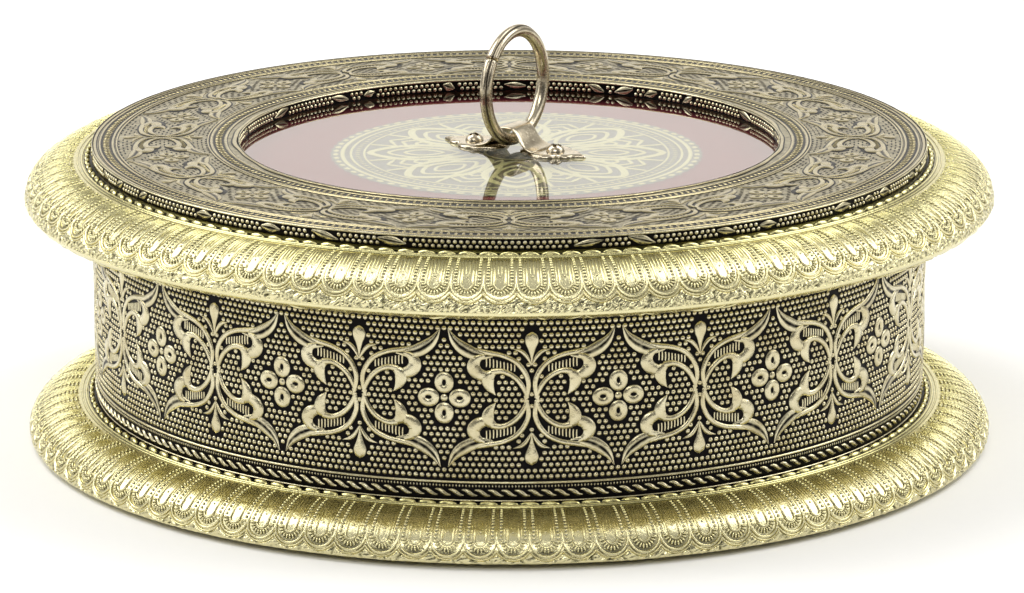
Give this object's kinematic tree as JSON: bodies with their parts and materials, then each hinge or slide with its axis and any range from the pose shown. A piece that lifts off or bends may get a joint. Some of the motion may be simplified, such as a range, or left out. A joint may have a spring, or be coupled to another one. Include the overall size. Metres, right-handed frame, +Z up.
{
  "type": "spice box",
  "caption": "Round foil-covered spice box with turned edge mouldings, a lift-off glazed lid with a folding ring pull, and metal cups and a spoon inside.",
  "frame": {"origin": "centre of the underside, on the surface that the box stands on", "axes": "+Z up through the lid's centre; -Y is the front; the box is round apart from its ring pull"},
  "size_m": [0.23, 0.23, 0.0985],
  "materials": {
    "wood_board": "raw fibreboard",
    "gold_foil": "embossed pale gold foil",
    "oxidised_foil": "embossed foil, blackened and rubbed back",
    "medallion_foil": "embossed pale foil",
    "felt": "pressed felt",
    "velvet": "velvet paper",
    "glass": "clear float glass",
    "nickelled_brass": "worn nickel plate",
    "steel": "spun stainless steel"
  },
  "bodies": {
    "box": {"base_core": "wood_board", "base_edge_foil": "gold_foil", "base_felt": "felt", "drum_wall": "wood_board", "drum_band": "oxidised_foil", "wall_lining": "velvet", "floor_lining": "velvet"},
    "cups": {"cup_centre": "steel", "cup_1": "steel", "cup_2": "steel", "cup_3": "steel", "cup_4": "steel", "cup_5": "steel", "cup_6": "steel", "spoon": "steel"},
    "lid": {"lid_core": "wood_board", "lid_edge_foil": "gold_foil", "lid_spigot": "wood_board", "lid_lining": "velvet", "top_ring_board": "wood_board", "top_ring_foil": "oxidised_foil", "top_ring_edge_strip": "oxidised_foil", "opening_edge_strip": "oxidised_foil", "glass_pane": "glass", "medallion": "medallion_foil", "backing_velvet": "velvet", "pull_plate": "nickelled_brass", "pull_screws": "nickelled_brass"},
    "ring": {"pull_ring": "nickelled_brass"}
  },
  "joints": [
    {"name": "cups_lift", "type": "slide", "parent": "box", "child": "cups", "axis": [0, 0, 1], "range_m": [0, 0.05]},
    {"name": "lid_lift", "type": "slide", "parent": "cups", "child": "lid", "axis": [0, 0, 1], "range_m": [0, 0.1]},
    {"name": "pull_hinge", "type": "hinge", "parent": "lid", "child": "ring", "pos_m": [0.0013, 0, 0.07105], "axis": [0.5225, 0.8526, 0], "range_deg": [-85, 85]}
  ]
}
